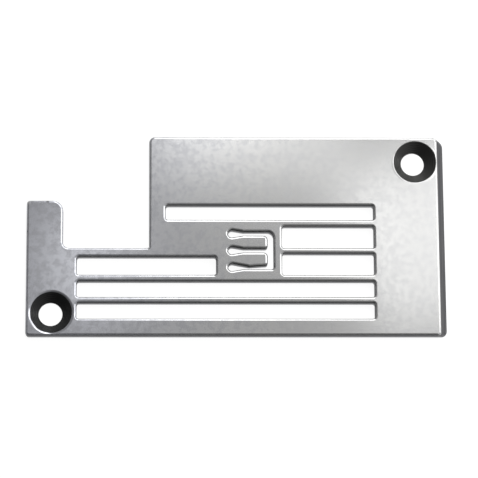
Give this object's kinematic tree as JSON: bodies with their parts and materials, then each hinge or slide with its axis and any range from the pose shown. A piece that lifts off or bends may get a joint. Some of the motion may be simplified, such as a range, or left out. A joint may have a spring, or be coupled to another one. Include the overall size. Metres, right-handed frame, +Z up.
{
  "type": "sewing machine needle plate",
  "caption": "Flat polished steel needle plate for a coverstitch sewing machine, with feed dog slots, a forked needle slot and countersunk screw holes.",
  "frame": {"origin": "middle of the plate's overall rectangle, on its underside", "axes": "+X along the feed, from the arm to the bevelled edge; +Y across the feed, from the long feed slots to the wide plain field; +Z up through the polished face"},
  "size_m": [0.078, 0.038, 0.002],
  "materials": {
    "plate_steel": "satin polished upper face with rounded edges, dull cut walls and dark turned countersinks"
  },
  "bodies": {
    "root": {"needle_plate": "plate_steel"}
  },
  "joints": []
}
